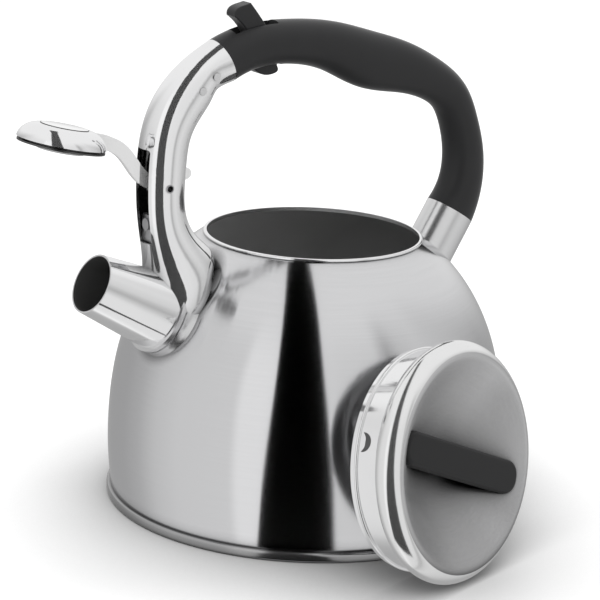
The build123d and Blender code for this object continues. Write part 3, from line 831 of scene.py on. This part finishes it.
# ---- vessel
@dataclass
class Vessel:
    """The drawn vessel, its rolled mouth and the base pan that closes it."""

    shop: Workshop
    sheet: float = 0.8
    base_radius: float = 95.0
    hem_height: float = 4.6
    hem_width: float = 6.0
    hem_round: float = 1.6
    hem_steps: int = 5
    floor_step: float = 1.2
    mouth_height: float = 130.0
    mouth_radius: float = 50.6
    lip: float = 1.7
    # the mouth's rolled bead: its radius, and its arc in degrees
    bead: float = 0.6
    bead_arc: range = range(20, 181, 20)
    # the side's line from the base to the neck
    side: tuple[Point, ...] = (
        (93.0, 4.6), (94.7, 42.8), (88.2, 80.8), (67.4, 115.9), (51.6, 128.8),
    )
    side_points: int = 64
    steps: int = 160
    trim_steps: int = 128
    # a face is lining if it looks outward less than this, or lies lower above the floor
    lining_way: float = -0.05
    lining_height: float = 0.1

    def outer(self) -> list[Point]:
        """The side's smooth line."""
        return smooth_line(self.side, self.side_points)

    def solid(self) -> Form:
        """Make the vessel's outer shape, for trimming what joins it.

        Returns:
            The closed form in metres.
        """
        line = self.outer()
        profile = [(0, line[0][1]), *line, (0, line[-1][1])]
        return turned(profile, UPRIGHT, self.trim_steps, closed=False)

    def build(self) -> None:
        """Make the vessel's wall and the base pan."""
        outside = self.outer()
        end, level = outside[-1], self.hem_height + self.sheet
        bead = [
            (end[0] + self.bead * math.sin(a), end[1] + self.bead - self.bead * math.cos(a))
            for a in map(math.radians, self.bead_arc)
        ]
        lip = [
            (self.mouth_radius, self.mouth_height),
            (self.mouth_radius, self.mouth_height - self.lip),
        ]
        inside = beside(outside, self.sheet)[-2:0:-1]
        floor = [(inside[-1][0] - self.floor_step, level), (0, level)]
        profile = outside + bead + lip + inside + floor
        wall = turned(profile, UPRIGHT, self.steps, closed=False)
        for face in wall.faces:
            middle = face.calc_center_median() / MM
            out = face.normal.dot(Vector((middle.x, middle.y, 0)).normalized())
            lining = out < self.lining_way or middle.z < level + self.lining_height
            face.material_index = 2 if middle.z > end[1] else int(lining)
        self.shop.piece(
            "vessel_wall",
            wall,
            Body.KETTLE,
            ("vessel_shell",),
            "brushed_steel",
            ("vessel_steel", "vessel_lining", "polished_steel"),
        )
        hem = rounded(
            [
                (self.base_radius - self.hem_width, self.sheet),
                (self.base_radius - self.hem_width, self.hem_height),
                (self.base_radius, self.hem_height),
                (self.base_radius, 0),
                (0, 0),
            ],
            self.hem_round,
            self.hem_steps,
        )
        pan = turned(hem + [(0, self.sheet)], UPRIGHT, self.steps, closed=False)
        self.shop.piece(
            "base_hem", pan, Body.KETTLE, ("base_pan",), "polished_steel", ("hem_steel",)
        )


# ---- arch and spout
@dataclass
class Arch:
    """The black grip between the bracket and the ferrule, and the spout before them."""

    shop: Workshop
    vessel: Vessel
    # the spout: its mouth's centre, tilt, radius, widening and length
    spout_mouth: Triple = (-119.6, 0, 118.3)
    spout_tilt: float = 25.9
    spout_radius: float = 13.9
    spout_flare: float = 0.108
    spout_length: float = 66.0
    spout_steps: int = 96
    # a face of the spout is dull if it looks outward less than this
    throat_way: float = -0.5
    # the grip's cross sections from the bracket to the ferrule
    grip: tuple[Station, ...] = (
        Station(-55.2, 215.4, 10.7, 11.0, 26.0),
        Station(-42.0, 220.5, 10.4, 11.0),
        Station(-20.0, 222.3, 10.3, 10.9),
        Station(5.0, 218.6, 11.8, 10.8),
        Station(26.5, 211.2, 13.6, 10.6),
        Station(45.0, 206.8, 12.5, 10.3),
        Station(63.0, 200.2, 10.5, 10.0),
        Station(76.5, 190.5, 9.65, 10.0),
        Station(83.0, 178.3, 9.5, 10.0),
        Station(87.4, 161.5, 10.25, 10.2),
        Station(87.2, 148.5, 11.15, 10.4),
        Station(81.4, 132.9, 13.2, 10.8, -121.0),
    )
    grip_rings: int = 96
    grip_segments: int = 56
    # the corners of the trigger's pocket, above and below the grip's middle
    pockets: tuple[tuple[Triple, Triple], ...] = (
        ((-50.5, -4.5, 205), (-27.5, 4.5, 245)),
        ((-41.5, -4.5, 190), (-24, 4.5, 228)),
    )

    def build(self) -> None:
        """Make the grip and the spout, and dress the solids that stay."""
        grip = self.shop.piece(
            "grip",
            lofted(station_line(self.grip, self.grip_rings), self.grip_segments),
            Body.KETTLE,
            ("handle_grip",),
            "black_plastic",
            ("black_plastic",),
        )
        self.shop.cut(grip, *(block(low, high) for low, high in self.pockets))
        self.spout()
        self.shop.dress("bracket_steel", "front_bracket")
        self.shop.dress("satin_steel", "spout_collar", "rear_ferrule", "grip_rivets")
        self.shop.dress("plain_steel", "pivot_pin", "foot_plate", "foot_screw")
        self.shop.dress("plain_steel", "pivot_bushes", "trigger_pin", "rear_stud")
        self.shop.dress("core_metal", "heat_core")

    def spout(self) -> None:
        """Make the spout's tube, dull inside, and trim it at the vessel's wall."""
        tilt = math.radians(self.spout_tilt)
        axes = Axes(
            Vector(self.spout_mouth),
            Vector((math.sin(tilt), 0, math.cos(tilt))),
            Vector((math.cos(tilt), 0, -math.sin(tilt))),
        )
        end = self.spout_radius + self.spout_flare * self.spout_length
        wall = [(self.spout_radius, 0), (end, self.spout_length)]
        inside = [(radius - self.vessel.sheet, height) for radius, height in reversed(wall)]
        tube = turned(wall + inside, axes, self.spout_steps)
        for face in tube.faces:
            middle = face.calc_center_median() / MM - axes.origin
            outward = (middle - axes.along * middle.dot(axes.along)).normalized()
            face.material_index = int(face.normal.dot(outward) < self.throat_way)
        spout = self.shop.piece(
            "spout",
            tube,
            Body.KETTLE,
            ("spout_tube",),
            "polished_steel",
            ("polished_steel", "throat_steel"),
        )
        self.shop.cut(spout, self.vessel.solid())


# ---- whistle and trigger
@dataclass
class Whistle:
    """The cap, its arm, and the trigger and link that swing it."""

    shop: Workshop
    # the cap's seat, and its axis in degrees above the level
    seat: Triple = (-136.255, 0, 182.215)
    way: float = 79.1
    dome_height: float = 9.0
    # the disc: its radius, how deep it sits, how far it stands out, and its bevel
    disc_radius: float = 10.8
    disc_sink: float = 0.4
    disc_lift: float = 0.3
    disc_bevel: Point = (0.2, 0.03)
    # the dark joint, a ring whose dark colour is painted shade of the gap round the disc: its
    # width, and how far its edges lie below the disc
    seam: float = 0.35
    seam_drop: Point = (0.04, 0.06)
    steps: int = 96

    def axes(self) -> Axes:
        """The cap's axis, from its seat upwards."""
        x, z = math.cos(math.radians(self.way)), math.sin(math.radians(self.way))
        return Axes(Vector(self.seat), Vector((z, 0, -x)), Vector((x, 0, z)))

    def disc(self) -> None:
        """Make the round disc let into the cap's top, in its dark seam, a ring coloured as
        painted shade of the gap.
        """
        low, top = self.dome_height - self.disc_sink, self.dome_height + self.disc_lift
        reach, inner = self.disc_radius, self.disc_radius - self.seam
        across, down = self.disc_bevel
        face = [(inner, low), (inner, top - down), (inner - across, top), (0, top)]
        disc = turned(face, self.axes(), self.steps, closed=False)
        self.shop.piece(
            "disc", disc, Body.WHISTLE, ("cap_disc",), "polished_steel", ("disc_steel",)
        )
        near, far = self.seam_drop
        joint = [(inner, low), (reach, low), (reach, top - far), (inner, top - near)]
        seam = turned(joint, self.axes(), self.steps)
        self.shop.piece("disc_seam", seam, Body.WHISTLE, (), "plain_steel", ("groove_shade",))

    def build(self) -> None:
        """Make the disc, and dress the cap, arm, trigger and link."""
        self.disc()
        self.shop.dress("polished_steel", "cap_dome")
        self.shop.dress("disc_steel", "whistle_arm")
        # the flange is coloured dark as painted shade of the gap under the cap
        self.shop.dress("groove_shade", "cap_flange")
        self.shop.dress("plain_steel", "arm_link_pin", "whistle_reed")
        self.shop.dress("plain_steel", "trigger_link_pin", "link_rod")
        self.shop.dress("seal_rubber", "whistle_seal")
        self.shop.dress("black_plastic", "trigger")


# ---- lid
@dataclass
class Lid:
    """The lid that leans on the vessel: rim, dish, skirt and bar."""

    shop: Workshop
    # how far it leans back and turns, in degrees, and where it stands
    lean: float = 9.5
    turn: float = 17.5
    side: float = -3.2
    front: float = 119.8
    sheet: float = 0.8
    # the rim's line from its lower edge to its crown
    rim: tuple[Point, ...] = ((49.4, -4.0), (52.6, -3.0), (54.0, 0.2), (52.2, 5.4), (47.6, 8.2))
    # the dish: its radius, its edge's height, its depth and the shares of its radius given
    dish_radius: float = 45.2
    dish_edge: float = 7.2
    dish_depth: float = 14.2
    dish_shares: tuple[float, ...] = (1.0, 0.8, 0.6, 0.4, 0.2, 0.0)
    curve_points: int = 120
    steps: int = 144
    # inside this radius the rim's top is brushed like the dish
    brushed_radius: float = 49.04
    skirt_radius: float = 49.4
    # the vent: its place around and along the skirt, its size, opening and thinning
    vent_way: float = 157.5
    vent_height: float = -13.2
    vent_radius: float = 4.3
    vent_width: float = 2.9
    vent_open: float = 95.0
    vent_thinning: float = 0.7
    vent_lifts: Point = (-0.3, 0.06)
    vent_steps: int = 24
    vent_merge: float = 0.01

    def curve(self) -> list[Point]:
        """The lid's outer line.

        Returns:
            Its points, from the rim's lower edge to the dish's centre.
        """
        dish = [
            (self.dish_radius * share, self.dish_edge - self.dish_depth * (1 - share**2))
            for share in self.dish_shares
        ]
        return smooth_line([*self.rim, *dish], self.curve_points)

    def axes(self) -> Axes:
        """The lid's axis, set so that its rim stands on the floor.

        Returns:
            The axis, out of the dished face.
        """
        lean, turn = math.radians(self.lean), math.radians(self.turn)
        height = max(r * math.cos(lean) - h * math.sin(lean) for r, h in self.curve())
        across = Vector((math.cos(turn), math.sin(turn), 0))
        ahead = Vector((math.sin(turn), -math.cos(turn), 0)) * math.cos(lean)
        along = ahead + Vector((0, 0, math.sin(lean)))
        return Axes(Vector((self.side, -self.front, height)), across, along)

    def crescent(self, axes: Axes) -> None:
        """Set the small dark crescent of the steam vent into the skirt's side, a thin sheet
        whose dark colour is painted shade of the vent's opening.

        Args:
            axes: the lid's axis.
        """
        inner, outer = [], []
        for i in range(self.vent_steps + 1):
            swing = math.radians(self.vent_open * (2 * i / self.vent_steps - 1))
            share = math.cos(swing * 90 / self.vent_open) ** self.vent_thinning
            for row, reach in (
                (outer, self.vent_radius),
                (inner, self.vent_radius - self.vent_width * share),
            ):
                row.append((reach * math.sin(swing), reach * math.cos(swing)))
        form = bmesh.new()
        rows = []
        for lift in self.vent_lifts:
            reach = self.skirt_radius + lift
            for row in (outer, inner):
                verts = []
                for up, across in row:
                    turn = math.radians(self.vent_way) + up / self.skirt_radius
                    level = self.vent_height + across
                    spot = (reach * math.cos(turn), reach * math.sin(turn), level)
                    verts.append(form.verts.new(spot))
                rows.append(verts)
        for a, b in ((0, 1), (2, 3), (0, 2), (1, 3)):
            for i in range(self.vent_steps):
                form.faces.new((rows[a][i], rows[a][i + 1], rows[b][i + 1], rows[b][i]))
        bmesh.ops.remove_doubles(form, verts=form.verts, dist=self.vent_merge)
        bmesh.ops.holes_fill(form, edges=form.edges)
        bmesh.ops.recalc_face_normals(form, faces=form.faces)
        form.transform(axes.matrix())
        self.shop.piece("skirt_vent", form, Body.LID, (), "plain_steel", ("groove_shade",))

    def build(self) -> None:
        """Make the rim, dish and vent, and dress the skirt, the bar and its screws."""
        axes = self.axes()
        line = self.curve()
        split = next(i for i, point in enumerate(line) if point[0] <= self.dish_radius)
        under = beside(line, self.sheet)
        rim = turned(line[: split + 1] + under[split::-1], axes, self.steps)
        for face in rim.faces:
            middle = face.calc_center_median() / MM - axes.origin
            reach = (middle - axes.along * middle.dot(axes.along)).length
            outside = face.normal.dot(axes.along) > 0
            face.material_index = int(outside and reach < self.brushed_radius)
        self.shop.piece(
            "rim", rim, Body.LID, ("lid_rim",), "polished_steel", ("rim_steel", "dish_steel")
        )
        height = line[-1][1]
        centre = [(0.0, height), (0.0, height - self.sheet)]
        dish = turned(line[split:-1] + centre + under[-2 : split - 1 : -1], axes, self.steps)
        for face in dish.faces:
            face.material_index = int(face.normal.dot(axes.along) < 0)
        self.shop.piece(
            "dish", dish, Body.LID, ("lid_dish",), "brushed_steel", ("dish_steel", "satin_steel")
        )
        self.crescent(axes)
        self.shop.dress("polished_steel", "lid_skirt")
        self.shop.dress("bar_plastic", "lid_bar")
        self.shop.dress("plain_steel", "lid_screws")


# ---- studio
@dataclass(frozen=True)
class Lamp:
    """A soft square lamp, in metres and watts, aimed at the kettle."""

    name: str
    place: Triple
    power: float
    size: float = 1.2
    aim: Triple = (0, 0, 0.08)

    def hang(self) -> None:
        """Hang the lamp, unseen in reflections."""
        data = bpy.data.lights.new(self.name, "AREA")
        data.shape = "RECTANGLE"
        data.size = data.size_y = self.size
        data.energy = self.power
        lamp = bpy.data.objects.new(self.name, data)
        lamp.location = self.place
        ahead = Vector(self.aim) - Vector(self.place)
        lamp.rotation_euler = ahead.to_track_quat("-Z", "Y").to_euler()
        lamp.visible_glossy = False
        bpy.context.scene.collection.objects.link(lamp)


@dataclass
class Studio:
    """A pale floor, soft light, the tent that steel reflects, and the camera."""

    # the camera: its place in millimetres, its angles in degrees and its lens
    distance: float = 1054.4
    height: float = 390.75
    turn: float = 35.0
    yaw: float = -0.258
    pitch: float = 15.607
    roll: float = 2.664
    lens: float = 137.23
    sensor: float = 36.0
    clip: Point = (0.05, 50.0)
    # the floor: its size and depth in metres, and its shade near things and away from them
    floor_size: float = 12.0
    floor_drop: float = 0.0002
    floor_dark: Triple = (0.22, 0.22, 0.22)
    floor_light: Triple = (0.9, 0.9, 0.9)
    floor_roughness: float = 0.9
    shade_reach: float = 0.12
    shade_power: float = 1.3
    shade_samples: int = 16
    lamps: tuple[Lamp, ...] = (
        Lamp("key", (-0.9, -0.7, 1.5), 14),
        Lamp("fill", (0.9, 0.6, 1.3), 8),
    )
    # the tent: its radius and its middle's height in metres, and its pieces
    tent_radius: float = 2.0
    tent_height: float = 0.09
    tent_segments: tuple[int, int] = (48, 24)
    # how bright it is around the kettle, in degrees to the right of the camera
    walls: tuple[Point, ...] = (
        (-180, 0.40), (-150, 0.40), (-125, 0.44), (-108, 0.52), (-92, 0.68), (-75, 0.76),
        (-41, 0.79), (-36, 0.97), (-20, 0.97), (22, 0.80), (46, 0.78), (55, 0.42),
        (64, 0.66), (78, 0.74), (105, 0.62), (134, 0.42), (180, 0.40),
    )
    # its roof: how bright, between which heights it starts, and how much later behind
    roof: float = 0.88
    roof_from: Point = (0.45, 0.85)
    roof_fall: float = 0.72
    # the black strip: between two tilts it narrows, it slants, and it has two ends
    strip_tilts: Point = (-0.35, 1.8)
    strip_widths: Point = (0.32, 0.07)
    strip_lean: float = -0.035
    strip_side: float = -0.042
    strip_low: float = -1.1
    strip_high: float = 2.1

    def camera(self) -> None:
        """Place the camera."""
        yaw, pitch, roll = map(math.radians, (self.yaw, self.pitch, self.roll))
        level_way = Vector((math.sin(yaw), math.cos(yaw), 0)) * math.cos(pitch)
        ahead = level_way - Vector((0, 0, math.sin(pitch)))
        right = Vector((math.cos(yaw), -math.sin(yaw), 0))
        up = right.cross(ahead)
        level = math.cos(roll) * right + math.sin(roll) * up
        upright = -math.sin(roll) * right + math.cos(roll) * up
        around = Matrix.Rotation(-math.radians(self.turn), 4, "Z")
        place = Matrix.Translation(Vector((0, -self.distance, self.height)) * MM)
        data = bpy.data.cameras.new("camera")
        data.lens = self.lens
        data.sensor_width = self.sensor
        data.clip_start, data.clip_end = self.clip
        camera = bpy.data.objects.new("camera", data)
        aim = Matrix((level, upright, -ahead)).transposed().to_4x4()
        camera.matrix_world = around @ place @ aim
        bpy.context.scene.collection.objects.link(camera)
        bpy.context.scene.camera = camera

    def floor(self) -> None:
        """Lay the floor, with a deeper shade close to what stands on it."""
        nodes = Nodes("floor")
        free = nodes.openness(self.shade_reach, self.shade_power, self.shade_samples)
        nodes.surface(
            {
                "Base Color": nodes.blend(free, self.floor_dark, self.floor_light),
                "Roughness": self.floor_roughness,
                "Specular IOR Level": 0.0,
            }
        )
        form = bmesh.new()
        size = Matrix.Diagonal((self.floor_size, self.floor_size, 1, 1))
        place = Matrix.Translation((0, 0, -self.floor_drop)) @ size
        bmesh.ops.create_grid(form, x_segments=1, y_segments=1, size=0.5, matrix=place)
        floor = stand("floor", form, nodes.material)
        floor.visible_glossy = False

    def glow(self) -> bpy.types.Material:
        """Make the tent's finish: bright walls, a brighter roof and a black strip.

        Returns:
            The material.
        """
        nodes = Nodes("tent")
        unit = nodes.add("ShaderNodeVectorMath", operation="NORMALIZE")
        nodes.feed(nodes.spot(), unit.inputs[0])
        parts = nodes.add("ShaderNodeSeparateXYZ")
        nodes.feed(unit.outputs[0], parts.inputs[0])
        right, back, up = parts.outputs
        ahead = nodes.math("MULTIPLY", back, -1.0)
        turn = nodes.math("DIVIDE", nodes.math("ARCTAN2", right, ahead), math.tau)
        ramp = nodes.add("ShaderNodeValToRGB")
        nodes.feed(nodes.math("ADD", turn, 0.5), ramp.inputs["Fac"])
        # the ramp's own two stops serve as the first and the last
        stops = ramp.color_ramp.elements
        for place, _ in self.walls[1:-1]:
            stops.new((place + 180) / 360)
        for stop, (_, shade) in zip(stops, self.walls):
            stop.color = (shade, shade, shade, 1)
        tilt = nodes.math("ARCTAN2", up, ahead)
        width = nodes.spread(tilt, self.strip_tilts, self.strip_widths)
        middle = nodes.math("MULTIPLY_ADD", tilt, self.strip_lean, self.strip_side)
        off = nodes.math("ABSOLUTE", nodes.math("SUBTRACT", right, middle))
        inside = nodes.math("LESS_THAN", off, width)
        low = nodes.math("GREATER_THAN", tilt, self.strip_low)
        high = nodes.math("LESS_THAN", tilt, self.strip_high)
        strip = nodes.math("MULTIPLY", inside, nodes.math("MULTIPLY", low, high))
        behind = nodes.math("MAXIMUM", back, 0.0)
        rise = nodes.math("MULTIPLY_ADD", behind, self.roof_fall, up)
        over = nodes.spread(rise, self.roof_from, UNIT, "SMOOTHSTEP")
        bright = nodes.blend(over, ramp.outputs["Color"], (self.roof, self.roof, self.roof))
        nodes.surface(
            {
                "Base Color": (0, 0, 0),
                "Specular IOR Level": 0.0,
                "Emission Color": nodes.blend(strip, bright, (0, 0, 0)),
                "Emission Strength": 1.0,
            }
        )
        nodes.material.cycles.emission_sampling = "NONE"
        return nodes.material

    def tent(self) -> None:
        """Hang the tent that only polished and satin surfaces see."""
        form = bmesh.new()
        around, upward = self.tent_segments
        size = self.tent_radius
        bmesh.ops.create_uvsphere(form, u_segments=around, v_segments=upward, radius=size)
        tent = stand("tent", form, self.glow())
        turn = Matrix.Rotation(-math.radians(self.turn), 4, "Z")
        tent.matrix_world = Matrix.Translation((0, 0, self.tent_height)) @ turn
        for way in ("camera", "diffuse", "shadow", "transmission", "volume_scatter"):
            setattr(tent, f"visible_{way}", False)

    def build(self) -> None:
        """Set the room's light, the floor, the lamps, the tent and the camera."""
        scene = bpy.context.scene
        scene.view_settings.view_transform = "Standard"
        world = bpy.data.worlds.new("room")
        world.use_nodes = True
        light = world.node_tree.nodes["Background"]
        light.inputs["Color"].default_value = (1, 1, 1, 1)
        light.inputs["Strength"].default_value = 1.0
        scene.world = world
        self.floor()
        for lamp in self.lamps:
            lamp.hang()
        self.tent()
        self.camera()


def main() -> None:
    """Build the kettle and its studio."""
    logging.basicConfig(level=logging.INFO, format="%(name)s: %(message)s")
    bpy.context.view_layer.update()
    Studio().build()
    shop = Workshop()
    vessel = Vessel(shop)
    vessel.build()
    Arch(shop, vessel).build()
    Whistle(shop).build()
    Lid(shop).build()


if __name__ == "__main__":
    main()
